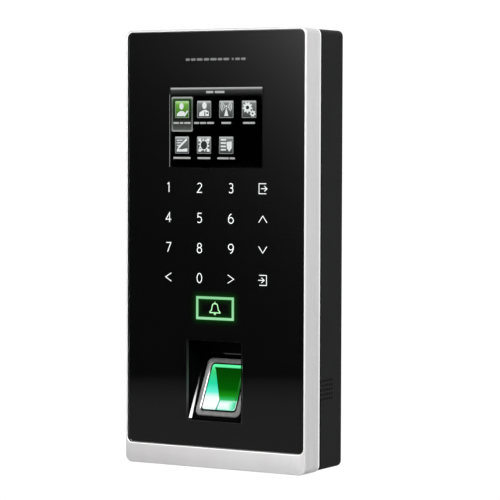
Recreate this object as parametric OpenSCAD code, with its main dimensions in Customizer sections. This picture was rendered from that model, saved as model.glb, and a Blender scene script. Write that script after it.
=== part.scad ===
// Wall-mounted fingerprint access terminal, in millimetres.
// Frame: the wall is the plane y = 0, the face of the terminal looks along -Y, +Z is up,
// and the origin is the centre of the wall plate's four screw holes.

/* [Case] */
// Width of the terminal
body_w = 95.6; // [92:0.2:100]
// Height of the terminal
body_h = 200.2; // [198:0.2:206]
// Depth of the terminal, from its glass to its back
body_d = 34.7; // [34:0.1:40]
// Radius of the case's four corners
corner_r = 3.2; // [2.5:0.1:5]
// Depth of the metal front bezel
bezel_d = 13.4; // [12.5:0.1:15]
// Wall thickness of the bezel and the rear housing
wall = 2.2; // [1.8:0.1:2.6]
// How far the rear housing stands back from the bezel's sides
housing_inset = 0.4; // [0.3:0.1:0.6]
// Height of the metal chin under the glass
chin_h = 9.3; // [8:0.1:11]
// Width of the metal rim beside and above the glass
rim = 0.9; // [0.7:0.1:1.5]

/* [Wall plate] */
// Thickness of the steel plate
plate_t = 2; // [1.5:0.1:2]
// Width of the plate
plate_w = 76; // [72:1:80]
// Gap between the plate and the terminal's back
plate_gap = 0.3; // [0.3:0.05:0.5]
// Distance between the wall holes across
hole_span_x = 60; // [54:1:64]
// Distance between the wall holes up and down
hole_span_z = 130; // [110:1:140]
// Radius of the wall holes
hole_r = 2.25; // [1.8:0.05:2.5]

/* [Front] */
// Thickness of the cover glass
glass_t = 1.8; // [1.2:0.1:2]
// Width of the display's picture
lcd_w = 48.96; // [48:0.01:50]
// Height of the display's picture
lcd_h = 36.72; // [36:0.01:38]
// Height of the display's middle above the origin
lcd_z = 55.4; // [54:0.1:56]
// Width of the lit bell key
bell_w = 20.1; // [18:0.1:22]
// Height of the lit bell key
bell_h = 10.7; // [9:0.1:12]
// Height of the bell key's middle
bell_z = -26.9; // [-28:0.1:-26]

/* [Finger sensor] */
// Width of the finger recess
recess_w = 29; // [28:0.5:30]
// Height of the recess's upper edge
recess_top = -41.8; // [-43:0.1:-41]
// Height of the recess's lower edge
recess_bottom = -78.7; // [-80:0.1:-78]
// Slope of the recess's floor, away from the glass
slope = 26.9; // [25:0.1:28]
// Depth of the floor's middle below the glass
slope_d = 9.15; // [9:0.05:9.5]
// Height of the floor's middle
slope_z = -63.7; // [-64:0.1:-63]
// Width of the sensor's metal ring
ring_w = 23.8; // [23:0.1:24.5]
// Length of the sensor's metal ring, along the slope
ring_l = 28.6; // [28:0.1:29]
// Width of the prism's touch face
prism_w = 17.6; // [16:0.1:18]
// Length of the prism's touch face, along the slope
prism_l = 22.3; // [21:0.1:23]

/* [Motion] */
// How far the terminal tilts off the plate, in degrees
tilt_max = 12; // [8:1:12]
// How far the tamper plunger comes out
tamper_travel = 1.5; // [1:0.1:1.6]
// How far the reset button goes in
reset_travel = 0.6; // [0.3:0.1:0.6]

/* [Hidden] */
$fn = 48;

// Planes across the depth, from the wall forwards
back_y = -plate_t - plate_gap;
back_in_y = back_y - wall;
front_y = back_y - body_d;
seam_y = front_y + bezel_d;
gasket_t = 1.7;
housing_y = seam_y + gasket_t;
boss_y = seam_y - 2;
tongue_y = boss_y + 0.1;
film_t = 0.15;
tape_t = 0.45;
film_y = front_y + glass_t;
tape_y = film_y + film_t;
seat_y = tape_y + tape_t;
ledge_t = 1.6;
ledge_y = seat_y + ledge_t;
pcb_t = 1.6;
pcb_back_y = -14;
pcb_y = pcb_back_y - pcb_t;

// Sizes of the case
half_h = body_h / 2;
glass_w = body_w - 2 * rim;
glass_top = half_h - rim;
glass_bottom = -half_h + chin_h;
glass_h = glass_top - glass_bottom;
glass_z = (glass_top + glass_bottom) / 2;
glass_r = 2.8;
opening_w = 79;
opening_top = 93;
opening_bottom = -86;
housing_w = body_w - 2 * housing_inset;
housing_h = body_h - 2 * housing_inset;
housing_r = corner_r - housing_inset;
cavity_w = body_w - 2 * wall;
cavity_h = body_h - 2 * wall;
cavity_r = corner_r - wall / 2;

// Case screws and their bosses: [x, z]
boss_r = 3.2;
screw_r = 1.25;
case_screw_at = [for (x = [-41.5, 41.5], z = [-94, 94]) [x, z]];
side_screw_at = [for (x = [-42.1, 42.1]) [x, 8]];
all_screws_at = concat(case_screw_at, side_screw_at);
screw_seat_y = -13.5;
screw_tip_y = -29;

// Hooks of the wall plate
hook_x = 25;
hook_w = 12;
hook_top = 94;
plate_top = 90;
plate_bottom = -94;
hook_back_y = back_in_y - 0.4;
hook_front_y = hook_back_y - plate_t;
slot_w = 13;
slot_top = plate_top + 0.5;
slot_bottom = 86;
pocket_top = 95.5;
pocket_y = hook_front_y - 0.55 - (pocket_top - plate_top) * sin(tilt_max);
skin = 1.5;

// Lower tab of the wall plate, and the lock screw
tab_w = 14;
tab_y = -12;
tab_top = -92;
lock_y = -8;
notch_w = 16;
notch_top = -90.5;
notch_floor = -95;
recess_roof = -96.5;
lock_recess_w = 11;
lock_head_r = 2.75;
lock_r = 1.5;

// Connection bay in the back
bay_w = 66;
bay_top = -4;
bay_bottom = -36;
bay_skirt_w = bay_w + 2 * skin;
pcb_w = 84;
pcb_top = 84;
pcb_bottom = -38.5;
pcb_hole_at = [for (x = [-37.5, 37.5], z = [-33, 78]) [x, z]];

// Speaker grille in the right-hand side
grille_y = -16.5;
grille_z = -63.1;
grille_pitch = 2.08;
grille_r = 0.5;
speaker_y = -15.2;
speaker_d = 11.4;
speaker_h = 17;
speaker_x = 40.4;
speaker_t = 3.8;

// Tamper switch and reset button: [x, z]
tamper_at = [-30, -62];
plunger_r = 1.5;
reset_at = [27, -27];
reset_r = 1.7;
reset_in_y = -12.3;
run = 0.06;

// Finger sensor
recess_back_y = front_y + 16.6;
liner = 1.2;
slope_y = front_y + slope_d;
module_w = 25;
module_l = 30;
module_d = 12.8;

// Prism, from its touch face down to its slanted camera face
prism_d = 9;
prism_edge = 1.5;
prism_foot = 2;

// ---------- helpers ----------

// Rectangle with round corners, centred
module round_rect(w, h, r) {
    square([w - 2 * r, h], center = true);
    square([w, h - 2 * r], center = true);
    for (x = [-1, 1], z = [-1, 1])
        translate([x * (w / 2 - r), z * (h / 2 - r)]) circle(r);
}

// Extrudes an outline in X and Z from plane y0 back to plane y1
module slab(y0, y1) {
    translate([0, y1, 0]) rotate([90, 0, 0]) linear_extrude(y1 - y0) children();
}

// Box given by its low and high corners
module block(low, high) {
    translate(low) cube(high - low);
}

// Cylinder along Y, from y0 back to y1, at [x, z]
module peg(at, r, y0, y1) {
    translate([at[0], y1, at[1]]) rotate([90, 0, 0]) cylinder(r = r, h = y1 - y0);
}

// Cylinder along Z at [x, y]
module post(at, r, z0, z1) {
    translate([at[0], at[1], z0]) cylinder(r = r, h = z1 - z0);
}

// Puts children in the sensor's own frame: X across, Y up the slope, Z out of its face
module on_slope() {
    translate([0, slope_y, slope_z]) rotate([90 - slope, 0, 0]) children();
}

// Outline in Y and Z, extruded across X by w about x
module profile(x, w, points) {
    translate([x - w / 2, 0, 0]) rotate([90, 0, 90]) linear_extrude(w) polygon(points);
}

// Unit normal at point i of a path
function path_normal(p, i) =
    let (a = p[max(i - 1, 0)], b = p[min(i + 1, len(p) - 1)], d = (b - a) / norm(b - a))
    [-d[1], d[0]];

// Outline of a ribbon of thickness t along a path
function ribbon(p, t) = concat(
    [for (i = [0 : len(p) - 1]) p[i] + path_normal(p, i) * t / 2],
    [for (i = [len(p) - 1 : -1 : 0]) p[i] - path_normal(p, i) * t / 2]
);

// Points of a smooth S from a to b, leaving and arriving along Z
function ess(a, b, n = 10) = [for (i = [0 : n])
    let (s = i / n, k = s * s * (3 - 2 * s)) [a[0] + (b[0] - a[0]) * k, a[1] + (b[1] - a[1]) * s]];

// ---------- wall plate ----------

module plate_hook(x) {
    translate([x, 0, 0]) {
        block([-hook_w / 2, hook_front_y, plate_top - plate_t], [hook_w / 2, 0, plate_top]);
        block([-hook_w / 2, hook_front_y, plate_top - plate_t], [hook_w / 2, hook_back_y, hook_top]);
    }
}

module wall_plate() {
    window_w = bay_w - 8;
    color("silver") difference() {
        union() {
            translate([0, 0, (plate_top + plate_bottom) / 2])
                slab(-plate_t, 0) round_rect(plate_w, plate_top - plate_bottom, 4);
            for (x = [-hook_x, hook_x]) plate_hook(x);
            block([-tab_w / 2, tab_y, plate_bottom], [tab_w / 2, 0, tab_top]);
        }
        // Window for the cables
        translate([0, 0, (bay_top + bay_bottom) / 2])
            slab(-plate_t - 1, 1) round_rect(window_w, bay_top - bay_bottom - 6, 3);
        // Screw holes to the wall
        for (x = [-1, 1], z = [-1, 1])
            peg([x * hole_span_x / 2, z * hole_span_z / 2], hole_r, -plate_t - 1, 1);
        // Hole of the lock screw
        post([0, lock_y], lock_r, plate_bottom - 1, tab_top + 1);
        // Relief cuts beside the hooks
        for (x = [-hook_x, hook_x], s = [-1, 1])
            peg([x + s * (hook_w / 2 + 1.4), plate_top - 0.6], 1.2, -plate_t - 1, 1);
    }
}

module lock_screw() {
    color("dimgray") difference() {
        union() {
            post([0, lock_y], lock_head_r, recess_roof - 2.4, recess_roof - 0.3);
            post([0, lock_y], lock_r, recess_roof - 0.4, notch_top - 0.5);
        }
        translate([0, lock_y, recess_roof - 2.5]) cylinder(r = 1.15, h = 1.4, $fn = 6);
    }
}

// ---------- case ----------

module front_bezel() {
    color("gainsboro") difference() {
        union() {
            difference() {
                slab(front_y, seam_y) round_rect(body_w, body_h, corner_r);
                slab(ledge_y, seam_y + 1) round_rect(cavity_w, cavity_h, cavity_r);
            }
            for (p = all_screws_at) peg(p, boss_r, seat_y, boss_y);
        }
        // Seat of the cover glass
        translate([0, 0, glass_z])
            slab(front_y - 1, seat_y) round_rect(glass_w + 0.1, glass_h + 0.1, glass_r);
        // Opening behind the glass
        translate([0, 0, (opening_top + opening_bottom) / 2])
            slab(front_y, ledge_y + 0.1) round_rect(opening_w, opening_top - opening_bottom, 3);
        for (p = all_screws_at) peg(p, screw_r, screw_tip_y - 0.5, boss_y + 1);
    }
}

module grille_holes() {
    for (i = [0 : 5], j = [0 : 4])
        translate([40, grille_y + (i - 2.5) * grille_pitch, grille_z + (j - 2) * grille_pitch])
            rotate([0, 90, 0]) cylinder(r = grille_r, h = 10, $fn = 20);
}

module hook_pocket_block(x) {
    half = slot_w / 2 + skin;
    block([x - half, pocket_y - skin, slot_bottom - skin], [x + half, back_in_y + 0.1, pocket_top + skin]);
}

module hook_pocket_space(x) {
    half = slot_w / 2;
    block([x - half, pocket_y, slot_bottom], [x + half, back_in_y, pocket_top]);
    block([x - half, back_in_y - 0.1, slot_bottom], [x + half, back_y + 1, slot_top]);
}

module lock_block() {
    half = notch_w / 2 + skin;
    block([-half, tab_y - 0.9 - skin, -housing_h / 2 + 1], [half, back_in_y + 0.1, notch_top + skin]);
}

module lock_space() {
    // Room for the plate's tab
    block([-notch_w / 2, tab_y - 0.9, notch_floor], [notch_w / 2, back_y + 1, notch_top]);
    // Recess of the screw head, open to the back and below
    block([-lock_recess_w / 2, lock_y - 5.5, -half_h], [lock_recess_w / 2, back_y + 1, recess_roof]);
    // Slot round the screw's shank
    post([0, lock_y], lock_r + 0.5, recess_roof - 1, notch_floor + 1);
    block([-lock_r - 0.5, lock_y, recess_roof - 1], [lock_r + 0.5, back_y + 1, notch_floor + 1]);
}

module rear_housing() {
    tongue_w = cavity_w - 0.2;
    tongue_h = cavity_h - 0.2;
    color("darkslategray") difference() {
        union() {
            difference() {
                slab(housing_y, back_y) round_rect(housing_w, housing_h, housing_r);
                slab(housing_y - 1, back_in_y)
                    round_rect(housing_w - 2 * wall, housing_h - 2 * wall, 1.6);
            }
            // Tongue that locates inside the bezel
            difference() {
                slab(tongue_y, housing_y + 0.9) round_rect(tongue_w, tongue_h, cavity_r);
                slab(tongue_y - 1, housing_y + 2) round_rect(tongue_w - 2.4, tongue_h - 2.4, 1);
            }
            for (p = all_screws_at) peg(p, boss_r, tongue_y, back_in_y + 0.1);
            for (p = pcb_hole_at) peg(p, 2.8, pcb_back_y, back_in_y + 0.1);
            // Skirt of the connection bay, up to the main board
            translate([0, 0, (bay_top + bay_bottom) / 2])
                slab(pcb_back_y, back_in_y + 0.1)
                    round_rect(bay_skirt_w, bay_top - bay_bottom + 2 * skin, 3 + skin);
            for (x = [-hook_x, hook_x]) hook_pocket_block(x);
            lock_block();
            // Guide of the tamper plunger
            peg(tamper_at, 3, back_in_y - 0.4, back_in_y + 0.1);
        }
        translate([0, 0, (bay_top + bay_bottom) / 2])
            slab(pcb_back_y - 1, back_y + 1) round_rect(bay_w, bay_top - bay_bottom, 3);
        for (x = [-hook_x, hook_x]) hook_pocket_space(x);
        lock_space();
        for (p = all_screws_at) {
            peg(p, screw_r + 0.15, tongue_y - 1, back_y);
            peg(p, 2.6, screw_seat_y, back_y + 1);
        }
        for (p = pcb_hole_at) peg(p, screw_r, pcb_back_y - 1, -8);
        peg(tamper_at, plunger_r + run, -10, back_y + 1);
        grille_holes();
    }
}

module case_gasket() {
    inner = housing_inset + wall - 0.1;
    color("black") difference() {
        slab(seam_y, housing_y) round_rect(housing_w - 0.1, housing_h - 0.1, housing_r - 0.05);
        slab(seam_y - 1, housing_y + 1)
            round_rect(body_w - 2 * inner + 1.2, body_h - 2 * inner + 1.2, 1.9);
    }
}

module pan_screw(at, head_r, head_h, seat, tip) {
    difference() {
        union() {
            peg(at, head_r, seat, seat + head_h);
            peg(at, screw_r, tip, seat + 0.1);
        }
        for (a = [0, 90])
            translate([at[0], seat + head_h, at[1]]) rotate([0, a, 0])
                cube([head_r, 1.4, 0.5], center = true);
    }
}

module case_screws() {
    color("dimgray") for (p = all_screws_at) pan_screw(p, 2.25, 1.7, screw_seat_y, screw_tip_y);
}

// ---------- glass, display and keys ----------

module recess_outline(grow = 0) {
    translate([0, (recess_top + recess_bottom) / 2])
        round_rect(recess_w + 2 * grow, recess_top - recess_bottom + 2 * grow, 0.6 + grow);
}

module cover_glass() {
    color([0.1, 0.1, 0.12, 0.6]) difference() {
        translate([0, 0, glass_z]) slab(front_y, film_y) round_rect(glass_w, glass_h, glass_r);
        slab(front_y - 1, film_y + 1) recess_outline();
    }
}

module legend_film() {
    color("black") difference() {
        translate([0, 0, glass_z]) slab(film_y, tape_y) round_rect(glass_w - 0.6, glass_h - 0.6, glass_r - 0.3);
        slab(film_y - 1, tape_y + 1) {
            recess_outline(0.2);
            translate([0, lcd_z]) square([lcd_w + 0.6, lcd_h + 0.6], center = true);
        }
    }
}

module glass_tape() {
    color("dimgray") difference() {
        translate([0, 0, glass_z]) slab(tape_y, seat_y) round_rect(glass_w - 0.8, glass_h - 0.8, glass_r - 0.4);
        translate([0, 0, (opening_top + opening_bottom) / 2])
            slab(tape_y - 1, seat_y + 1) round_rect(opening_w, opening_top - opening_bottom, 3);
    }
}

lcd_case_w = 61;
lcd_case_h = 43.4;
lcd_case_d = 3.2;
lcd_skin = 0.3;
lcd_cell_y = tape_y + lcd_skin;

module lcd_panel() {
    color("midnightblue") translate([0, 0, lcd_z])
        slab(lcd_cell_y, lcd_cell_y + 1.3) square([lcd_case_w - 1, lcd_case_h - 1], center = true);
}

module lcd_backlight() {
    color("white") translate([0, 0, lcd_z])
        slab(lcd_cell_y + 1.3, lcd_cell_y + 2.6) square([lcd_case_w - 1, lcd_case_h - 1], center = true);
}

module lcd_frame() {
    color("silver") translate([0, 0, lcd_z]) difference() {
        slab(tape_y, tape_y + lcd_case_d) square([lcd_case_w, lcd_case_h], center = true);
        slab(lcd_cell_y, lcd_cell_y + 2.6) square([lcd_case_w - 1, lcd_case_h - 1], center = true);
        slab(tape_y - 1, lcd_cell_y + 1) square([lcd_w + 1.2, lcd_h + 1.2], center = true);
        // Slot of the ribbon
        block([-11, -34, lcd_case_h / 2 - 3], [11, -30, lcd_case_h / 2 - 2]);
    }
}

module lcd_flex() {
    start = [lcd_cell_y + 2.8, lcd_z + lcd_case_h / 2 - 2.5];
    color("orange") profile(0, 20, ribbon(concat(
        [start],
        ess(start + [1.2, 1], [pcb_y - 1.4, 60]),
        [[pcb_y - 1.4, 52]]), 0.3));
}

module key_light_guide() {
    color([0.8, 0.9, 1, 0.6]) difference() {
        slab(tape_y, tape_y + 1.05) translate([0, 7]) round_rect(72, 50, 2);
        // Chamfered corner that keys the sheet to the board
        block([34.5, tape_y - 1, 30], [37, tape_y + 2, 33]);
    }
}

module key_leds() {
    color("lightyellow") for (x = [-26, -9, 9, 26], z = [-19.4, 32.6])
        block([x - 0.8, tape_y + 0.2, z - 0.4], [x + 0.8, tape_y + 1.05, z + 0.4]);
}

module bell_light_guide() {
    color("mediumspringgreen") translate([0, 0, bell_z]) difference() {
        slab(tape_y, tape_y + 1.05) round_rect(bell_w + 1, bell_h + 1, 1);
        slab(tape_y - 1, tape_y + 2) round_rect(bell_w - 3.6, bell_h - 3.6, 0.6);
    }
}

module touch_pcb() {
    color("green") difference() {
        slab(tape_y + 1.05, tape_y + 2.25) translate([0, -1.5]) round_rect(74, 70, 2);
        for (x = [-34.5, 34.5], z = [-34, 31]) peg([x, z], 1.1, -40, -30);
    }
}

module touch_cable() {
    start = [tape_y + 2.4, -15];
    color("ivory") profile(-18, 12, ribbon(concat(
        [start],
        ess(start + [0.6, 2], [pcb_y - 1.4, 13]),
        [[pcb_y - 1.4, 19]]), 0.3));
}

module rfid_antenna() {
    color("darkolivegreen") difference() {
        slab(tape_y + 2.25, tape_y + 3.05) round_rect(68, 58, 4);
        slab(tape_y + 2, tape_y + 4) round_rect(50, 40, 3);
    }
}

// ---------- finger sensor ----------

module sensor_recess() {
    rim_y = tape_y;
    floor_low = slope_z + (rim_y - slope_y) / tan(slope);
    wall_top = slope_z + (recess_back_y - slope_y) / tan(slope);
    down = liner / cos(90 - slope);
    color([0.08, 0.08, 0.09]) difference() {
        union() {
            profile(0, recess_w + 2 * liner, [
                [rim_y, recess_top + liner],
                [recess_back_y + liner, recess_top + liner],
                [recess_back_y + liner, wall_top + liner - down / 2],
                [recess_back_y, wall_top - down],
                [rim_y + liner, floor_low - down + liner / tan(slope)],
                [rim_y, floor_low - down]
            ]);
            // Flange bonded behind the film
            slab(rim_y, rim_y + liner) recess_outline(3.2);
        }
        profile(0, recess_w, [
            [rim_y - 1, recess_bottom],
            [rim_y, recess_bottom],
            [rim_y, floor_low],
            [recess_back_y, wall_top],
            [recess_back_y, recess_top],
            [rim_y - 1, recess_top]
        ]);
        // Seat of the metal ring
        on_slope() translate([0, 0, -5]) linear_extrude(10) round_rect(ring_w, ring_l, 2.6);
    }
}

module sensor_ring() {
    color("silver") on_slope() difference() {
        translate([0, 0, -liner]) linear_extrude(liner + 0.3) round_rect(ring_w, ring_l, 2.6);
        translate([0, 0, -5]) linear_extrude(10) round_rect(prism_w + 0.8, prism_l + 0.8, 1.8);
    }
}

module sensor_prism() {
    color([0.2, 0.9, 0.5, 0.6]) on_slope() intersection() {
        translate([-prism_w / 2, 0, 0]) rotate([90, 0, 90]) linear_extrude(prism_w) polygon([
            [-prism_l / 2, 0], [prism_l / 2, 0], [prism_l / 2, -prism_edge],
            [prism_foot, -prism_d], [-prism_l / 2, -prism_d]
        ]);
        translate([0, 0, -prism_d - 1]) linear_extrude(prism_d + 2) round_rect(prism_w, prism_l, 1.4);
    }
}

module sensor_housing() {
    color("black") on_slope() difference() {
        translate([0, 0, -liner - module_d]) linear_extrude(module_d) round_rect(module_w, module_l, 2);
        translate([0, 0, -liner - module_d + liner])
            linear_extrude(module_d) round_rect(module_w - 2.4, module_l - 2.4, 1);
        // Slot of the ribbon in the upper end
        translate([-6, module_l / 2 - 2, -module_d + 0.6]) cube([12, 4, 1.4]);
    }
}

module sensor_pcb() {
    color("green") on_slope() translate([0, 0, -module_d])
        linear_extrude(1) square([module_w - 3, module_l - 3], center = true);
}

module sensor_lens() {
    color("black") on_slope() translate([0, 8, -module_d + 1]) difference() {
        union() {
            cylinder(r = 3, h = 1.4);
            cylinder(r = 2.2, h = 2.8);
        }
        translate([0, 0, 2]) cylinder(r = 1.2, h = 2);
    }
}

module sensor_leds() {
    color("lime") on_slope() for (x = [-7.5, -2.5, 2.5, 7.5])
        translate([x - 0.8, -module_l / 2 + 1.8, -module_d + 1]) cube([1.6, 1.2, 1]);
}

module sensor_cable() {
    color("ivory") profile(0, 10, ribbon(concat(
        [[-11.35, -54.6]],
        [[-10.6, -52.6]],
        ess([-10.7, -51], [pcb_y - 1.4, -41]),
        [[pcb_y - 1.4, -30]]), 0.3));
}

module sensor_screws() {
    color("dimgray") on_slope() for (x = [-1, 1], y = [-1, 1])
        translate([x * (module_w / 2 + 1.3), y * (module_l / 2 - 4.5), -liner - 3])
            cylinder(r = 1, h = 3);
}

// ---------- main board ----------

module main_pcb() {
    color("darkgreen") difference() {
        translate([0, 0, (pcb_top + pcb_bottom) / 2])
            slab(pcb_y, pcb_back_y) round_rect(pcb_w, pcb_top - pcb_bottom, 1.5);
        for (p = pcb_hole_at) peg(p, screw_r + 0.15, pcb_y - 1, pcb_back_y + 1);
        // Clearance round the side screw bosses
        for (p = side_screw_at) peg(p, boss_r + 0.4, pcb_y - 1, pcb_back_y + 1);
    }
}

module pcb_screws() {
    color("silver") for (p = pcb_hole_at) {
        difference() {
            union() {
                peg(p, 2.2, pcb_y - 1.5, pcb_y);
                peg(p, screw_r, pcb_y - 0.1, -9);
            }
            for (a = [0, 90])
                translate([p[0], pcb_y - 1.5, p[1]]) rotate([0, a, 0]) cube([2.4, 1.2, 0.5], center = true);
        }
    }
}

module processor_shield() {
    color("silver") difference() {
        block([-32, pcb_y - 3.2, 24], [-2, pcb_y, 52]);
        block([-31.7, pcb_y - 2.9, 24.3], [-2.3, pcb_y + 1, 51.7]);
        for (x = [-27 : 5 : -7], z = [29 : 6 : 47]) peg([x, z], 0.9, pcb_y - 4, pcb_y - 2);
    }
}

module memory_chips() {
    color([0.12, 0.12, 0.12]) {
        block([4, pcb_y - 1, 26], [14, pcb_y, 40]);
        block([18, pcb_y - 1, 26], [28, pcb_y, 34]);
        block([-30, pcb_y - 1, 0], [-22, pcb_y, 8]);
        block([-16, pcb_y - 1.4, -20], [-10, pcb_y, -15]);
    }
}

module relay() {
    color("royalblue") block([16, pcb_y - 10, -34], [31, pcb_y, -24]);
}

module power_parts() {
    color("dimgray") {
        block([8, pcb_y - 4, -18], [16, pcb_y, -10]);
        peg([24, -12], 4, pcb_y - 9, pcb_y);
        peg([34, -12], 4, pcb_y - 9, pcb_y);
        block([28, pcb_y - 2.3, -3], [33, pcb_y, 1]);
        block([18, pcb_y - 2.3, -3], [23, pcb_y, 1]);
    }
}

module buzzer() {
    color([0.1, 0.1, 0.1]) difference() {
        peg([-26, -24], 6, pcb_y - 6.5, pcb_y);
        peg([-26, -24], 1, pcb_y - 7, pcb_y - 5);
    }
}

module battery_holder() {
    color([0.15, 0.15, 0.15]) difference() {
        peg([25, 64], 11.4, pcb_y - 4.4, pcb_y);
        peg([25, 64], 10.05, pcb_y - 5, pcb_y - 1);
        block([20, pcb_y - 5, 73], [30, pcb_y - 1, 77]);
    }
}

module backup_battery() {
    color("silver") peg([25, 64], 10, pcb_y - 4.2, pcb_y - 1);
}

// Ribbon sockets, each under the end of its cable: [x, z, width]
socket_at = [[0, 54, 22], [-18, 17, 14], [0, -32, 12]];

module board_sockets() {
    color("ivory") for (s = socket_at)
        block([s[0] - s[2] / 2, pcb_y - 1.25, s[1] - 2], [s[0] + s[2] / 2, pcb_y, s[1] + 2]);
}

// ---------- connection bay ----------

block_pitch = 3.5;
block_z0 = -13.5;
block_z1 = -5;
block_y = -5.6;
// Terminal blocks: [left edge, ways]
blocks = [[-31, 8], [19.2, 3]];

module terminal_blocks() {
    color("darkgreen") for (b = blocks) difference() {
        block([b[0], pcb_back_y, block_z0], [b[0] + b[1] * block_pitch, block_y, block_z1]);
        for (i = [0 : b[1] - 1]) {
            x = b[0] + (i + 0.5) * block_pitch;
            peg([x, -8.6], 1.35, block_y - 2.4, block_y + 1);
            block([x - 1.2, pcb_back_y + 1.5, block_z0 - 1], [x + 1.2, pcb_back_y + 4.3, block_z0 + 4]);
        }
    }
}

module terminal_screws() {
    color("silver") for (b = blocks, i = [0 : b[1] - 1]) {
        x = b[0] + (i + 0.5) * block_pitch;
        difference() {
            peg([x, -8.6], 1.25, block_y - 2.4, block_y - 0.8);
            translate([x, block_y - 0.8, -8.6]) cube([3, 0.8, 0.5], center = true);
        }
    }
}

jack_x = 0;
jack_w = 15.8;
jack_z0 = -19;
jack_y = -2.8;
socket_w = 11.8;
socket_y0 = -11.8;
socket_y1 = -5;

module ethernet_jack() {
    color("silver") difference() {
        block([jack_x, pcb_back_y, jack_z0], [jack_x + jack_w, jack_y, block_z1]);
        translate([jack_x + jack_w / 2, 0, 0]) {
            block([-socket_w / 2, socket_y0, jack_z0 - 1], [socket_w / 2, socket_y1, jack_z0 + 11]);
            block([-3, socket_y1 - 0.1, jack_z0 - 1], [3, socket_y1 + 1.3, jack_z0 + 9]);
        }
    }
}

module reset_switch() {
    color("silver") difference() {
        block([reset_at[0] - 3, pcb_back_y, reset_at[1] - 3], [reset_at[0] + 3, -10.6, reset_at[1] + 3]);
        peg(reset_at, reset_r + run, reset_in_y - reset_travel - 0.1, -10);
    }
}

module reset_button() {
    color("black") peg(reset_at, reset_r, reset_in_y, -8.4);
}

// ---------- tamper switch ----------

module tamper_switch() {
    color("dimgray") difference() {
        union() {
            block([tamper_at[0] - 6.4, -15, tamper_at[1] - 3.5], [tamper_at[0] + 6.4, -8.4, tamper_at[1] + 3.5]);
            // Legs that stand on the back wall
            for (s = [-1, 1])
                block([tamper_at[0] + s * 5.4 - 1, -8.5, tamper_at[1] - 3.5],
                      [tamper_at[0] + s * 5.4 + 1, back_in_y, tamper_at[1] + 3.5]);
        }
        peg(tamper_at, 1 + run, -12.5, -8);
    }
}

module tamper_plunger() {
    color("ivory") {
        peg(tamper_at, 1, -11.2, -7.7);
        peg(tamper_at, 2.3, back_in_y - tamper_travel - 1.8, back_in_y - tamper_travel - 0.8);
        peg(tamper_at, plunger_r, -6.9, back_y);
    }
}

// ---------- speaker ----------

// Outline of the speaker in Y and Z, extruded along X from x0 to x1
module speaker_shape(x0, x1, shrink = 0) {
    translate([x0, speaker_y, grille_z]) rotate([90, 0, 90]) linear_extrude(x1 - x0)
        round_rect(speaker_d - shrink, speaker_h - shrink, 2.6 - shrink / 2);
}

module speaker() {
    x1 = speaker_x + speaker_t;
    color("dimgray") difference() {
        speaker_shape(speaker_x, x1);
        speaker_shape(x1 - 0.8, x1 + 1, 2);
    }
}

module speaker_gasket() {
    x0 = speaker_x + speaker_t;
    x1 = housing_w / 2 - wall;
    color("black") difference() {
        speaker_shape(x0, x1);
        speaker_shape(x0 - 1, x1 + 1, 2);
    }
}

module speaker_wires() {
    color("red") for (k = [0, 1])
        profile(speaker_x - 2.2 - k * 1.6, 0.9, ribbon(concat(
            [[-15.2, -56]],
            ess([-15.4, -54], [pcb_y - 2.6, -41]),
            [[pcb_y - 2.6, -28]]), 0.9));
    color("ivory") block([speaker_x - 5, pcb_y - 3.5, -28], [speaker_x - 1, pcb_y, -23]);
    color("dimgray") block([speaker_x - 5.2, -17, -57.5], [speaker_x, -14, -55.5]);
}

wall_plate();
lock_screw();
front_bezel();
rear_housing();
case_gasket();
case_screws();
cover_glass();
legend_film();
glass_tape();
lcd_panel();
lcd_frame();
lcd_backlight();
lcd_flex();
key_light_guide();
key_leds();
bell_light_guide();
touch_pcb();
touch_cable();
rfid_antenna();
sensor_recess();
sensor_ring();
sensor_prism();
sensor_housing();
sensor_lens();
sensor_pcb();
sensor_leds();
sensor_cable();
sensor_screws();
main_pcb();
pcb_screws();
processor_shield();
memory_chips();
relay();
power_parts();
buzzer();
battery_holder();
backup_battery();
board_sockets();
terminal_blocks();
terminal_screws();
ethernet_jack();
reset_switch();
reset_button();
tamper_switch();
tamper_plunger();
speaker();
speaker_gasket();
speaker_wires();
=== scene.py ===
import math

import bmesh
import bpy
from mathutils import Matrix, Vector


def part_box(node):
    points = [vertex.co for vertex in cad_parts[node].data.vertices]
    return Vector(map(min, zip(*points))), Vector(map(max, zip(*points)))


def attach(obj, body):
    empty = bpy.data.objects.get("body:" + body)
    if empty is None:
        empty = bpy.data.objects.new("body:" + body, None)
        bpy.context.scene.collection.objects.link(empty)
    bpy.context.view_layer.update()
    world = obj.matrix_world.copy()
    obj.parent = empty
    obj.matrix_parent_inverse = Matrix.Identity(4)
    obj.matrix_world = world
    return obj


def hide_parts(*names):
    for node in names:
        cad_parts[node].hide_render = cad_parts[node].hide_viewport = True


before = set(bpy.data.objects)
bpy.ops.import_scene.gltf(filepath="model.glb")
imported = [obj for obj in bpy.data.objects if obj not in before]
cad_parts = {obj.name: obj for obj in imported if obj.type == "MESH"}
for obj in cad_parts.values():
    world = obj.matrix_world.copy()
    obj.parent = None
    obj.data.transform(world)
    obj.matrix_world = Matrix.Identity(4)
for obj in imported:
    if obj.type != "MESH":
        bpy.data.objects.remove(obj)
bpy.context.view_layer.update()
MM = 0.001

# ---------------------------------------------------------------- places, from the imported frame

BEZEL_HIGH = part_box("front_bezel")[1]
GLASS_LOW, GLASS_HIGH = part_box("cover_glass")
LCD_LOW, LCD_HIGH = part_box("lcd_panel")
GUIDE_LOW, GUIDE_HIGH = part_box("bell_light_guide")
RING_LOW, RING_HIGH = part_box("sensor_ring")

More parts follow.
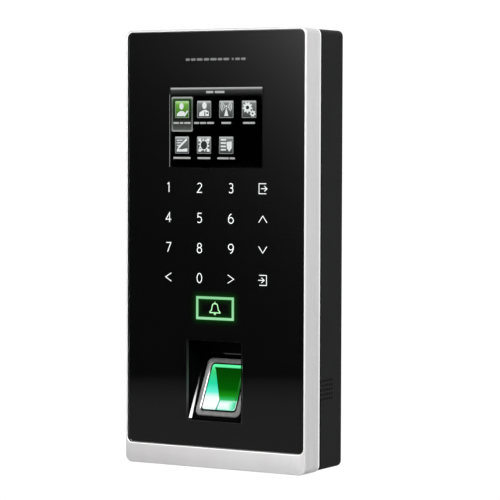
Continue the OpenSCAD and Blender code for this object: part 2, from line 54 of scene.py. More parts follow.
FRONT_Y = GLASS_LOW.y
FILM_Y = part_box("legend_film")[0].y
LCD_Y = LCD_LOW.y
LCD_Z = (LCD_LOW.z + LCD_HIGH.z) / 2
BELL_Z = (GUIDE_LOW.z + GUIDE_HIGH.z) / 2
RECESS_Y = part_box("sensor_recess")[0].y
HOUSING_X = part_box("rear_housing")[1].x
HALF_W = BEZEL_HIGH.x
HALF_H = BEZEL_HIGH.z

# ---------------------------------------------------------------- camera

CAM_AIM = Vector((-1.3, -2.3, -1.6)) * MM
CAM_AZIMUTH = math.radians(30.41)
CAM_ELEVATION = math.radians(2.67)
CAM_ROLL = math.radians(-0.17)
CAM_DISTANCE = 1.120
CAM_LENS = 172.5


def make_camera():
    data = bpy.data.cameras.new("camera")
    data.lens = CAM_LENS
    data.sensor_width = 36.0
    data.clip_start = 0.05
    data.clip_end = 50.0
    cam = bpy.data.objects.new("camera", data)
    bpy.context.scene.collection.objects.link(cam)
    back = Vector((
        math.sin(CAM_AZIMUTH) * math.cos(CAM_ELEVATION),
        -math.cos(CAM_AZIMUTH) * math.cos(CAM_ELEVATION),
        math.sin(CAM_ELEVATION),
    ))
    cam.location = CAM_AIM + back * CAM_DISTANCE
    cam.rotation_mode = "QUATERNION"
    turn = (-back).to_track_quat("-Z", "Y")
    cam.rotation_quaternion = turn @ Matrix.Rotation(-CAM_ROLL, 3, "Z").to_quaternion()
    bpy.context.scene.camera = cam


make_camera()

# ---------------------------------------------------------------- materials


def new_material(name):
    mat = bpy.data.materials.new(name)
    mat.use_nodes = True
    tree = mat.node_tree
    tree.nodes.clear()
    out = tree.nodes.new("ShaderNodeOutputMaterial")
    shader = tree.nodes.new("ShaderNodeBsdfPrincipled")
    tree.links.new(shader.outputs[0], out.inputs[0])
    return mat, tree, shader


def object_coords(tree, scale=(1, 1, 1)):
    coords = tree.nodes.new("ShaderNodeTexCoord")
    mapping = tree.nodes.new("ShaderNodeMapping")
    mapping.inputs["Scale"].default_value = scale
    tree.links.new(coords.outputs["Object"], mapping.inputs["Vector"])
    return mapping.outputs[0]


def noise(tree, scale, detail=3.0, stretch=(1, 1, 1), rough=0.5):
    node = tree.nodes.new("ShaderNodeTexNoise")
    node.inputs["Scale"].default_value = scale
    node.inputs["Detail"].default_value = detail
    node.inputs["Roughness"].default_value = rough
    tree.links.new(object_coords(tree, stretch), node.inputs["Vector"])
    return node.outputs["Fac"]


def axes(tree, source="Object"):
    """The X, Y and Z of one of the texture coordinates."""
    coords = tree.nodes.new("ShaderNodeTexCoord")
    split = tree.nodes.new("ShaderNodeSeparateXYZ")
    tree.links.new(coords.outputs[source], split.inputs[0])
    return split.outputs


def grey(level):
    return (level, level, level)


def ramp(tree, source, stops):
    node = tree.nodes.new("ShaderNodeValToRGB")
    points = node.color_ramp.elements
    while len(points) < len(stops):
        points.new(0.5)
    for point, (place, colour) in zip(points, stops):
        point.position = place
        point.color = (*colour, 1)
    tree.links.new(source, node.inputs[0])
    return node.outputs[0]


def value_range(tree, source, low, high):
    node = tree.nodes.new("ShaderNodeMapRange")
    node.inputs["To Min"].default_value = low
    node.inputs["To Max"].default_value = high
    tree.links.new(source, node.inputs["Value"])
    return node.outputs[0]


def roughen(tree, shader, source, low, high):
    """Roughness that follows a source between two values."""
    tree.links.new(value_range(tree, source, low, high), shader.inputs["Roughness"])


def bump(tree, shader, source, strength, distance):
    node = tree.nodes.new("ShaderNodeBump")
    node.inputs["Strength"].default_value = strength
    node.inputs["Distance"].default_value = distance
    tree.links.new(source, node.inputs["Height"])
    tree.links.new(node.outputs[0], shader.inputs["Normal"])


def varied(tree, shader, colour, spread, source):
    """Colour that drifts by +-spread round its value."""
    low = [c * (1 - spread) for c in colour]
    high = [min(1, c * (1 + spread)) for c in colour]
    tree.links.new(ramp(tree, source, [(0.3, low), (0.7, high)]), shader.inputs["Base Color"])


def maths(tree, operation, a, b=None):
    node = tree.nodes.new("ShaderNodeMath")
    node.operation = operation
    for i, value in enumerate((a, b)):
        if value is None:
            continue
        if isinstance(value, (int, float)):
            node.inputs[i].default_value = value
        else:
            tree.links.new(value, node.inputs[i])
    return node.outputs[0]


def silver_paint_and_light():
    """Metallic silver paint: fine flakes, an upright grain, and a slight painted light that brightens it
    towards +X.
    """
    mat, tree, shader = new_material("silver_paint_and_light")
    grain = noise(tree, 1300, 3, (0.05, 1, 0.02), 0.6)
    # Painted light: the colour grows lighter towards +X, the side the key light comes from
    painted_light_to_right = maths(tree, "MULTIPLY", axes(tree)["X"], 0.5 / HALF_W)
    tones = [
        (0.0, (0.575, 0.565, 0.567)), (0.5, (0.615, 0.605, 0.607)),
        (0.85, (0.645, 0.637, 0.639)), (1.0, (0.70, 0.692, 0.694)),
    ]
    tree.links.new(ramp(tree, maths(tree, "ADD", painted_light_to_right, grain), tones), shader.inputs["Base Color"])
    shader.inputs["Metallic"].default_value = 0.35
    roughen(tree, shader, noise(tree, 900, 3, (0.2, 1, 0.1)), 0.34, 0.46)
    bump(tree, shader, noise(tree, 9000, 2), 0.10, 0.02 * MM)
    return mat


def polished_cut_highlight():
    """The fine polished edges of the silver frame, with a near-white colour that partly paints a
    highlight along them.
    """
    mat, tree, shader = new_material("polished_cut_highlight")
    varied(tree, shader, (0.99, 0.99, 0.985), 0.01, noise(tree, 500, 3, (1, 1, 0.1)))
    shader.inputs["Metallic"].default_value = 0.1
    roughen(tree, shader, noise(tree, 1500, 3), 0.16, 0.26)
    bump(tree, shader, noise(tree, 4000, 2), 0.05, 0.01 * MM)
    return mat


# Where the speaker's holes are in the housing's right wall, and the depths between which painted shade
# makes them dark
GRILLE_Y = (-24.5 * MM, -8.5 * MM)
GRILLE_Z = (-69.0 * MM, -57.2 * MM)
GRILLE_SKIN = 0.10 * MM
GRILLE_DEPTH = 3.5 * MM
HOLE_PAINTED_SHADE = (0.0005, 0.0005, 0.0005, 1)


def charcoal_and_hole_shade():
    """Dark housing plastic with a fine spark-eroded texture, and painted shade, black and without sheen,
    inside the speaker's holes.
    """
    mat, tree, shader = new_material("charcoal_and_hole_shade")
    places = axes(tree)
    # Painted shade: a mask of the speaker's holes, where the colour turns black and the sheen goes off
    hole_shade_mask = 1.0
    for axis, low, high in (("X", HOUSING_X - GRILLE_DEPTH, HOUSING_X - GRILLE_SKIN),
                            ("Y", *GRILLE_Y), ("Z", *GRILLE_Z)):
        above = maths(tree, "GREATER_THAN", places[axis], low)
        below = maths(tree, "LESS_THAN", places[axis], high)
        hole_shade_mask = maths(tree, "MULTIPLY", hole_shade_mask, maths(tree, "MULTIPLY", above, below))
    tones = [(0.3, (0.0055, 0.0056, 0.0059)), (0.7, (0.0078, 0.0079, 0.0083))]
    colour = tree.nodes.new("ShaderNodeMix")
    colour.data_type = "RGBA"
    tree.links.new(hole_shade_mask, colour.inputs["Factor"])
    tree.links.new(ramp(tree, noise(tree, 45, 5), tones), colour.inputs["A"])
    colour.inputs["B"].default_value = HOLE_PAINTED_SHADE
    tree.links.new(colour.outputs["Result"], shader.inputs["Base Color"])
    tree.links.new(value_range(tree, hole_shade_mask, 0.21, 0.0), shader.inputs["Specular IOR Level"])
    roughen(tree, shader, noise(tree, 2600, 3), 0.50, 0.66)
    bump(tree, shader, noise(tree, 5200, 4, rough=0.6), 0.35, 0.06 * MM)
    return mat


def black_gloss(name, colour, low, high, specular=0.5):
    mat, tree, shader = new_material(name)
    varied(tree, shader, colour, 0.3, noise(tree, 60, 4))
    roughen(tree, shader, noise(tree, 900, 3), low, high)
    shader.inputs["Specular IOR Level"].default_value = specular
    bump(tree, shader, noise(tree, 220, 2), 0.03, 0.02 * MM)
    return mat


FACE_ON = 0.9


def clear_glass():
    """Polished cover glass whose cut edges are ground and blackened."""
    mat, tree, shader = new_material("cover_glass")
    facing = maths(tree, "ABSOLUTE", axes(tree, "Normal")["Y"])
    polished = maths(tree, "GREATER_THAN", facing, FACE_ON)
    ground = value_range(tree, noise(tree, 900, 3), 0.35, 0.5)
    smooth = value_range(tree, noise(tree, 30, 4), 0.0, 0.03)
    roughness = tree.nodes.new("ShaderNodeMix")
    tree.links.new(polished, roughness.inputs["Factor"])
    tree.links.new(ground, roughness.inputs["A"])
    tree.links.new(smooth, roughness.inputs["B"])
    tree.links.new(roughness.outputs["Result"], shader.inputs["Roughness"])
    tint = ramp(tree, polished, [(0, grey(0.02)), (1, (0.96, 0.98, 0.97))])
    tree.links.new(tint, shader.inputs["Base Color"])
    tree.links.new(polished, shader.inputs["Transmission Weight"])
    shader.inputs["IOR"].default_value = 1.5
    return mat


def blasted_metal(name, colour, low, high, grain=3000, streak=(1, 1, 1), metal=1.0):
    mat, tree, shader = new_material(name)
    varied(tree, shader, colour, 0.10, noise(tree, 400, 4, streak))
    shader.inputs["Metallic"].default_value = metal
    roughen(tree, shader, noise(tree, grain, 3, streak), low, high)
    bump(tree, shader, noise(tree, grain * 1.6, 3, streak), 0.18, 0.04 * MM)
    return mat


def plain_plastic(name, colour, low=0.35, high=0.55, grain=1800, specular=0.5):
    mat, tree, shader = new_material(name)
    shader.inputs["Specular IOR Level"].default_value = specular
    varied(tree, shader, colour, 0.10, noise(tree, 90, 4))
    roughen(tree, shader, noise(tree, grain, 3), low, high)
    bump(tree, shader, noise(tree, grain * 2, 3), 0.15, 0.04 * MM)
    return mat


def soft_rubber(name, colour, specular=0.5):
    return plain_plastic(name, colour, 0.65, 0.85, 2400, specular)


def circuit_board():
    """Green solder mask over copper, with traces showing faintly through."""
    mat, tree, shader = new_material("circuit_board")
    brick = tree.nodes.new("ShaderNodeTexBrick")
    brick.inputs["Scale"].default_value = 420
    brick.inputs["Mortar Size"].default_value = 0.16
    brick.inputs["Color1"].default_value = (0.010, 0.10, 0.045, 1)
    brick.inputs["Color2"].default_value = (0.012, 0.13, 0.055, 1)
    brick.inputs["Mortar"].default_value = (0.004, 0.055, 0.025, 1)
    turned = tree.nodes.new("ShaderNodeMapping")
    turned.inputs["Rotation"].default_value = (math.radians(90), 0, 0)
    tree.links.new(object_coords(tree), turned.inputs["Vector"])
    tree.links.new(turned.outputs[0], brick.inputs["Vector"])
    tree.links.new(brick.outputs["Color"], shader.inputs["Base Color"])
    roughen(tree, shader, noise(tree, 700, 3), 0.25, 0.4)
    bump(tree, shader, brick.outputs["Fac"], 0.2, 0.03 * MM)
    return mat


def lamp(name, colour, strength=1.0, spread=0.06):
    """A lit surface: emission with a little unevenness from the light behind it."""
    mat, tree, shader = new_material(name)
    shader.inputs["Base Color"].default_value = (*[c * 0.05 for c in colour], 1)
    shader.inputs["Roughness"].default_value = 0.4
    shader.inputs["Specular IOR Level"].default_value = 0.0
    low = [c * (1 - spread) for c in colour]
    light = ramp(tree, noise(tree, 240, 2), [(0.3, low), (0.7, colour)])
    tree.links.new(light, shader.inputs["Emission Color"])
    shader.inputs["Emission Strength"].default_value = strength
    return mat


def fade(name, axis, stops, strength=1.0, specular=0.0):
    """A lit surface whose colour runs along one axis of its generated box."""
    mat, tree, shader = new_material(name)
    shader.inputs["Base Color"].default_value = (0.001, 0.001, 0.001, 1)
    shader.inputs["Roughness"].default_value = 0.12
    shader.inputs["Specular IOR Level"].default_value = specular
    light = ramp(tree, axes(tree, "Generated")[axis], stops)
    tree.links.new(light, shader.inputs["Emission Color"])
    shader.inputs["Emission Strength"].default_value = strength
    return mat


SILVER_AND_PAINTED_LIGHT = silver_paint_and_light()
# Polished edge bands, partly real polish and partly a painted highlight
POLISHED_CUT_HIGHLIGHT = polished_cut_highlight()
CHARCOAL_AND_HOLE_SHADE = charcoal_and_hole_shade()
FILM_BLACK = black_gloss("legend_film", (0.0008, 0.0008, 0.0009), 0.3, 0.4, 0.0)
# Painted shade and highlight: one black moulding in two copies, the walls with almost no sheen, the
# grooves lighter and glossy
RECESS_PAINTED_SHADE = black_gloss("recess_painted_shade", (0.0008, 0.0008, 0.0010), 0.30, 0.42, 0.03)
RECESS_HIGHLIGHT_COPY = black_gloss("recess_highlight_copy", (0.004, 0.004, 0.005), 0.06, 0.10, 0.7)
COVER = clear_glass()
RING_METAL = blasted_metal("ring_metal", (0.36, 0.36, 0.355), 0.28, 0.46, 1600)
TIN = blasted_metal("tin_plate", (0.66, 0.67, 0.68), 0.22, 0.36, 900, (1, 1, 0.15))
PLATE_STEEL = blasted_metal("plate_steel", (0.55, 0.56, 0.57), 0.34, 0.52, 500, (0.12, 1, 1))
SCREW_STEEL = blasted_metal("screw_steel", (0.16, 0.16, 0.165), 0.3, 0.45, 2000)
PLASTIC_BLACK = plain_plastic("black_plastic", (0.016, 0.016, 0.017))
CHIP = plain_plastic("chip_epoxy", (0.022, 0.022, 0.024), 0.5, 0.65)
RELAY_BLUE = plain_plastic("relay_blue", (0.02, 0.09, 0.42), 0.25, 0.35)
BLOCK_GREEN = plain_plastic("block_green", (0.02, 0.22, 0.07), 0.35, 0.5)
IVORY = plain_plastic("socket_ivory", (0.72, 0.69, 0.6), 0.35, 0.5)
RIBBON = plain_plastic("ribbon_white", (0.72, 0.71, 0.67), 0.4, 0.5)
FLEX = plain_plastic("flex_film", (0.5, 0.24, 0.04), 0.2, 0.3)
WIRE = soft_rubber("wire_red", (0.5, 0.03, 0.03))
# Black rubber with its sheen turned almost off, so the seam round the frame reads as painted shade
RUBBER_BLACK_AND_SHADE = soft_rubber("gasket_rubber", grey(0.0012), 0.02)
TAPE = soft_rubber("foam_tape", grey(0.03))
ACRYLIC = plain_plastic("light_guide", (0.7, 0.74, 0.76), 0.08, 0.16)
BACKLIGHT = plain_plastic("backlight_sheet", (0.85, 0.85, 0.82), 0.4, 0.5)
BOARD = circuit_board()
LED_WHITE = plain_plastic("led_white", (0.85, 0.83, 0.62), 0.2, 0.3)
LED_GREEN = lamp("led_green", (0.15, 1.0, 0.4), 3.0)
# Painted light: the grey title print glows, standing in for the lamp light that would fall on it
TITLE_PAINTED_LIGHT = lamp("title_print_painted_light", grey(0.24))
LEGEND_WHITE = lamp("legend_white", (0.95, 0.96, 0.97), 1.35)
BELL_GREEN = fade("bell_green", "Z", [
    (0, (0.35, 0.77, 0.42)), (0.5, (0.31, 0.72, 0.37)), (1, (0.28, 0.67, 0.34)),
], 1.05)
BELL_ICON_GREEN = lamp("bell_icon_green", (0.50, 1.0, 0.52), 1.1)
PRISM_GLASS = black_gloss("prism_glass", (0.002, 0.02, 0.004), 0.05, 0.1)
DISPLAY_BLACK = black_gloss("display_black", (0.0003, 0.0003, 0.0004), 0.3, 0.4, 0.0)

CAD_MATERIALS = {
    "wall_plate": PLATE_STEEL, "lock_screw": SCREW_STEEL, "rear_housing": CHARCOAL_AND_HOLE_SHADE,
    "case_gasket": RUBBER_BLACK_AND_SHADE, "case_screws": SCREW_STEEL, "cover_glass": COVER,
    "legend_film": FILM_BLACK, "glass_tape": TAPE, "lcd_panel": DISPLAY_BLACK,
    "lcd_frame": TIN, "lcd_backlight": BACKLIGHT, "lcd_flex": FLEX,
    "key_light_guide": ACRYLIC, "key_leds": LED_WHITE, "bell_light_guide": ACRYLIC,
    "touch_pcb": BOARD, "touch_cable": RIBBON, "rfid_antenna": BOARD,
    "sensor_prism": PRISM_GLASS, "sensor_housing": PLASTIC_BLACK,
    "sensor_lens": PLASTIC_BLACK, "sensor_pcb": BOARD, "sensor_leds": LED_GREEN, "sensor_cable": RIBBON,
    "sensor_screws": SCREW_STEEL, "main_pcb": BOARD, "pcb_screws": TIN,
    "processor_shield": TIN, "memory_chips": CHIP, "relay": RELAY_BLUE, "power_parts": CHIP,
    "buzzer": PLASTIC_BLACK, "battery_holder": PLASTIC_BLACK, "backup_battery": TIN,
    "board_sockets": IVORY, "terminal_blocks": BLOCK_GREEN, "terminal_screws": TIN,
    "ethernet_jack": TIN, "reset_switch": TIN, "reset_button": PLASTIC_BLACK,
    "tamper_switch": PLASTIC_BLACK, "tamper_plunger": IVORY, "speaker": RUBBER_BLACK_AND_SHADE,
    "speaker_gasket": RUBBER_BLACK_AND_SHADE, "speaker_wires": WIRE,
}
# Small edge rounding of CAD pieces that stay visible, in millimetres
CAD_BEVELS = {
    "rear_housing": 0.25, "wall_plate": 0.2, "lock_screw": 0.12, "case_screws": 0.1,
    "ethernet_jack": 0.2, "terminal_blocks": 0.15, "tamper_plunger": 0.15, "reset_button": 0.2,
}
# How far the print's face is pressed into the glass, so that the two share no plane
FILM_BOND = 0.001 * MM


def dress_cad_nodes():
    for node, material in CAD_MATERIALS.items():
        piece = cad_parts[node]
        piece.data.materials.clear()
        piece.data.materials.append(material)
        for slot_holder in piece.material_slots:
            slot_holder.material = material
    for node, width in CAD_BEVELS.items():
        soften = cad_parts[node].modifiers.new("edges", "BEVEL")
        soften.width = width * MM
        soften.segments = 2
        soften.limit_method = "ANGLE"
        soften.angle_limit = math.radians(40)
    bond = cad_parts["legend_film"].modifiers.new("bond", "DISPLACE")
    bond.strength = FILM_BOND
    bond.mid_level = 0.0


dress_cad_nodes()

# ---------------------------------------------------------------- mesh helpers


def add_piece(name, bm, material, smooth=None, body="terminal"):
    """Turns a bmesh into a piece that rides a body."""
    bmesh.ops.remove_doubles(bm, verts=bm.verts, dist=1e-7)
    bmesh.ops.recalc_face_normals(bm, faces=bm.faces)
    mesh = bpy.data.meshes.new(name)
    bm.to_mesh(mesh)
    bm.free()
    piece = bpy.data.objects.new(name, mesh)
    bpy.context.scene.collection.objects.link(piece)
    mesh.materials.append(material)
    if smooth is not None:
        for face in mesh.polygons:
            face.use_smooth = True
        mesh.set_sharp_from_angle(angle=math.radians(smooth))
    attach(piece, body)
    return piece


def rounded_loop(width, height, radius, steps=10):
    """Points round a rectangle with round corners, about its centre."""
    points = []
    for quarter, (sx, sz) in enumerate([(1, 1), (-1, 1), (-1, -1), (1, -1)]):
        cx, cz = sx * (width / 2 - radius), sz * (height / 2 - radius)
        for i in range(steps + 1):
            angle = math.radians(90 * quarter + 90 * i / steps)
            points.append((cx + radius * math.cos(angle), cz + radius * math.sin(angle)))
    return points


def loft(rings):
    """Closed band through rings of equal length, each a list of (x, y, z)."""
    bm = bmesh.new()
    made = [[bm.verts.new(p) for p in ring] for ring in rings]
    count = len(rings[0])
    for a, b in zip(made, made[1:] + made[:1]):
        for i in range(count):
            j = (i + 1) % count
            bm.faces.new((a[i], a[j], b[j], b[i]))
    return bm


def solid_between(bm, front, back):
    """Solid between two outlines of equal length, each a list of (x, y, z)."""
    front = [bm.verts.new(p) for p in front]
    back = [bm.verts.new(p) for p in back]
    bm.faces.new(front)
    bm.faces.new(back[::-1])
    for i in range(len(front)):
        j = (i + 1) % len(front)
        bm.faces.new((front[i], back[i], back[j], front[j]))


def flat_shape(bm, outline, y_front, y_back):
    """Extruded polygon: outline in (x, z), from plane y_front back to y_back."""
    solid_between(bm, [(x, y_front, z) for x, z in outline], [(x, y_back, z) for x, z in outline])


def arc(cx, cz, radius, start, end, steps=12, squash=1.0):
    """Points along an arc, with angles in degrees from +X towards +Z."""
    return [
        (
            cx + radius * math.cos(math.radians(start + (end - start) * i / steps)),
            cz + radius * squash * math.sin(math.radians(start + (end - start) * i / steps)),
        )
        for i in range(steps + 1)
    ]


MITRE_LIMIT = 0.35


def stroke(bm, points, width, y_front, y_back, closed=False):
    """A pen line of even width along points in (x, z), with mitred turns."""
    path = [Vector(p) for p in points]
    count = len(path)
    left, right = [], []
    for i, here in enumerate(path):
        before = path[i - 1] if (closed or i > 0) else here
        after = path[(i + 1) % count] if (closed or i < count - 1) else here
        into = (here - before).normalized() if before != here else (after - here).normalized()
        out = (after - here).normalized() if after != here else into
        mid = (into + out).normalized() if (into + out).length > 1e-6 else out
        normal = Vector((-mid.y, mid.x))
        reach = width / 2 / max(MITRE_LIMIT, normal.dot(Vector((-out.y, out.x))))
        left.append(here + normal * reach)
        right.append(here - normal * reach)
    segments = count if closed else count - 1
    for i in range(segments):
        j = (i + 1) % count
        flat_shape(bm, [left[i], right[i], right[j], left[j]], y_front, y_back)


def placed(points, x, z, scale=1):
    return [(px * scale + x, pz * scale + z) for px, pz in points]


# ---------------------------------------------------------------- silver bezel

RIM_ROUND = 0.42 * MM
RIM_STEPS = 6
RIM_HOLD = 1.2 * MM
FRONT_CUT = 0.42 * MM
FRONT_CUT_DEPTH = 0.12 * MM
REAR_CUT = 1.1 * MM
REAR_STEP = 0.05 * MM
CUT_PROUD = 0.012 * MM
CUT_SKIN = 0.02 * MM
BEZEL_CORNER = 3.2 * MM
BEZEL_WALL = 2.2 * MM
INNER_CORNER = 2.1 * MM
SEAT_PLAY = 0.04 * MM
SEAT_CORNER = 2.8 * MM
SEAT_DEPTH = 2.4 * MM
LEDGE_THICK = 1.6 * MM
OPENING = (79 * MM, 179 * MM, 3.5 * MM)
OPENING_CORNER = 3 * MM


def bezel_ring(width, height, radius, y, centre_z=0.0):
    return [(x, y, z + centre_z) for x, z in rounded_loop(width, height, radius)]


def make_bezel():
    """Silver frame with a round rim, a seat and ledge for the glass, and two polished cuts whose
    near-white colour is partly a painted highlight.
    """
    width, height = 2 * HALF_W, 2 * HALF_H
    glass_w = GLASS_HIGH.x - GLASS_LOW.x + 2 * SEAT_PLAY
    glass_h = GLASS_HIGH.z - GLASS_LOW.z + 2 * SEAT_PLAY
    glass_z = (GLASS_HIGH.z + GLASS_LOW.z) / 2
    seat_y, cut_y, rear = FRONT_Y + SEAT_DEPTH, FRONT_Y + FRONT_CUT_DEPTH, BEZEL_HIGH.y
    ledge_y = seat_y + LEDGE_THICK

    def seat(grow, y):
        return bezel_ring(glass_w + 2 * grow, glass_h + 2 * grow, SEAT_CORNER + grow, y, glass_z)

    def outside(inset, y):
        return bezel_ring(width - 2 * inset, height - 2 * inset, BEZEL_CORNER - inset, y)

    def inside(y):
        return bezel_ring(width - 2 * BEZEL_WALL, height - 2 * BEZEL_WALL, INNER_CORNER, y)

    def opening(y):
        open_w, open_h, open_z = OPENING
        return bezel_ring(open_w, open_h, OPENING_CORNER, y, open_z)

    shell = [seat(0, seat_y), seat(0, cut_y), seat(FRONT_CUT, FRONT_Y)]
    for i in range(RIM_STEPS + 1):
        turn = math.radians(90 * i / RIM_STEPS)
        inset, back = RIM_ROUND * (1 - math.sin(turn)), RIM_ROUND * (1 - math.cos(turn))
        shell.append(outside(inset, FRONT_Y + back))
    shell += [
        outside(0, FRONT_Y + RIM_HOLD), outside(0, (FRONT_Y + rear) / 2), outside(0, rear - REAR_CUT),
        outside(REAR_STEP, rear), inside(rear), inside(ledge_y), opening(ledge_y), opening(seat_y),
    ]
    # The polished cut beside the glass, and the one along the rear edge: thin skins whose near-white
    # colour is partly a painted highlight
    front = [seat(0, cut_y - CUT_PROUD), seat(FRONT_CUT, FRONT_Y - CUT_PROUD / 20),
             seat(FRONT_CUT, FRONT_Y + CUT_SKIN), seat(0, cut_y + CUT_SKIN)]
    back = [outside(0, rear - REAR_CUT - CUT_SKIN / 2), outside(REAR_STEP - CUT_PROUD, rear),
            outside(2 * REAR_STEP, rear), outside(REAR_STEP, rear - REAR_CUT)]
    for name, rings, material, smooth in (
        ("bezel_shell", shell, SILVER_AND_PAINTED_LIGHT, 28),
        ("bezel_front_cut_highlight", front, POLISHED_CUT_HIGHLIGHT, None),
        ("bezel_rear_cut_highlight", back, POLISHED_CUT_HIGHLIGHT, None),
    ):
        piece = add_piece(name, loft(rings), material, smooth)
        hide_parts("front_bezel")


make_bezel()

# ---------------------------------------------------------------- key legends

KEY_X = [(i - 1.5) * 16.7 * MM for i in range(4)]
KEY_Z = [(27.95 - 13.75 * i) * MM for i in range(4)]
PEN = 0.39 * MM
ARROW_PEN = 0.33 * MM
INK_BACK = FILM_Y - 0.01 * MM
INK_FRONT = FILM_Y - 0.05 * MM

DIGIT_SCALE = 0.88
DIGIT_H = 2.42
DIGIT_W = 1.42


def digit_strokes(n):
    """Pen paths of a light, open digit about its centre, in millimetres."""
    h, w = DIGIT_H, DIGIT_W
    if n == 0:
        return [(arc(0, 0, w, 0, 360, 32, h / w)[:-1], True)]
    if n == 1:
        return [([(-0.75, 1.75), (0.25, h), (0.25, -h)], False)]
    if n == 2:
        return [(arc(-0.02, 1.18, 1.24, 155, -28, 14) + [(-1.35, -h + 0.05), (1.45, -h + 0.05)], False)]
    if n == 3:
        return [
            (arc(-0.1, 1.24, 1.18, 140, -82, 14) + [(-0.45, 0.1)], False),
            ([(-0.45, 0.1), (0.1, 0.08)] + arc(-0.1, -1.12, 1.3, 78, -145, 16), False),
        ]
    if n == 4:
        return [([(0.62, -h), (0.62, h), (-1.55, -1.05), (1.6, -1.05)], False)]
    if n == 5:
        return [([(1.25, h), (-0.85, h), (-1.05, 0.35)] + arc(-0.2, -0.93, 1.5, 115, -135, 18), False)]
    if n == 6:
        return [
            (arc(0, -0.95, 1.46, 0, 360, 28)[:-1], True),
            ([(-1.44, -0.75)] + arc(0.72, -0.55, 2.2, 178, 100, 10, 1.32), False),
        ]
    if n == 7:
        return [([(-1.4, h), (1.45, h), (-0.55, -h)], False)]
    if n == 8:
        return [
            (arc(0, 1.25, 1.14, 0, 360, 26)[:-1], True),
            (arc(0, -1.15, 1.36, 0, 360, 28)[:-1], True),
        ]
    return [
        (arc(0, 0.95, 1.46, 0, 360, 28)[:-1], True),
        ([(1.44, 0.75)] + arc(-0.72, 0.55, 2.2, -2, -80, 10, 1.32), False),
    ]


# Pen paths of the arrows about their centres, in millimetres
ARROWS = {
    "up": [[(-2.15, -1.5), (0, 1.5), (2.15, -1.5)]],
    "down": [[(-2.15, 1.5), (0, -1.5), (2.15, 1.5)]],
    "left": [[(1.6, 1.9), (-1.6, 0), (1.6, -1.9)]],
    "right": [[(-1.6, 1.9), (1.6, 0), (-1.6, -1.9)]],
    "leave": [
        [(1.75, 2.25), (-2.0, 2.25), (-2.0, -2.25), (1.75, -2.25)],
        [(-1.0, 0), (2.2, 0)],
        [(0.75, 1.15), (2.2, 0), (0.75, -1.15)],
    ],
    "enter": [
        [(-1.75, 2.25), (2.0, 2.25), (2.0, -2.25), (-1.75, -2.25)],
        [(-2.3, 0), (0.85, 0)],
        [(-0.6, 1.15), (0.85, 0), (-0.6, -1.15)],
    ],
}
KEYS = [
    [1, 2, 3, "leave"],
    [4, 5, 6, "up"],
    [7, 8, 9, "down"],
    ["left", 0, "right", "enter"],
]


def make_key_legends():
    for row, z in zip(KEYS, KEY_Z):
        for key, x in zip(row, KEY_X):
            if isinstance(key, str):
                paths, pen, scale = [(path, False) for path in ARROWS[key]], ARROW_PEN, MM
            else:
                paths, pen, scale = digit_strokes(key), PEN, DIGIT_SCALE * MM
            bm = bmesh.new()
            for points, closed in paths:
                stroke(bm, placed(points, x, z, scale), pen, INK_FRONT, INK_BACK, closed)
            add_piece(f"legend_{key}", bm, LEGEND_WHITE)


make_key_legends()

# The title marks are grey print that glows as painted light
TITLE_Z = 86.35 * MM
TITLE_H = 1.1 * MM
TITLE_ROUND = 0.5 * MM
# Left and right ends of the plain marks over the display, in millimetres
TITLE_MARKS = [
    (-15.9, -13.7), (-13.1, -10.6), (-10.0, -6.9), (-6.2, -3.4), (-2.8, 0.6),
    (1.2, 3.6), (4.2, 7.2), (8.6, 9.6), (10.4, 12.9), (13.5, 15.9),
]


def make_title_marks():
    bm = bmesh.new()
    for left, right in TITLE_MARKS:
        middle, width = (left + right) / 2 * MM, (right - left) * MM
        outline = placed(rounded_loop(width, TITLE_H, TITLE_ROUND, 4), middle, TITLE_Z)
        flat_shape(bm, outline, INK_FRONT, INK_BACK)
    add_piece("title_marks", bm, TITLE_PAINTED_LIGHT)


make_title_marks()

# ---------------------------------------------------------------- bell key

BELL_W = 20.1 * MM
BELL_H = 10.6 * MM
BELL_LINE = 1.15 * MM
BELL_SCALE = 0.93 * MM
BELL_PEN = 0.5 * MM
BELL_HALF_W = (BELL_W - BELL_LINE) / 2
BELL_HALF_H = (BELL_H - BELL_LINE) / 2
GLOW_FADE = 4.2 * MM
GLOW_REACH = 4.0 * MM
GLOW_FRONT = FILM_Y - 0.008 * MM
GLOW_BACK = FILM_Y - 0.002 * MM


def bell_strokes():
    """Pen paths of a bell about its centre, in millimetres: its body, its loop, and its clapper."""
    body = [
        (-2.9, -2.15), (-2.9, -1.75), (-1.95, -0.85), (-1.6, 1.0), (-1.3, 1.85), (-0.75, 2.25),
        (0.75, 2.25), (1.3, 1.85), (1.6, 1.0), (1.95, -0.85), (2.9, -1.75), (2.9, -2.15),
    ]
    return [
        (body, True),
        ([(0, 2.3), (0, 3.2)], False),
        ([(-0.55, -2.5), (0, -3.05), (0.55, -2.5)], False),
    ]


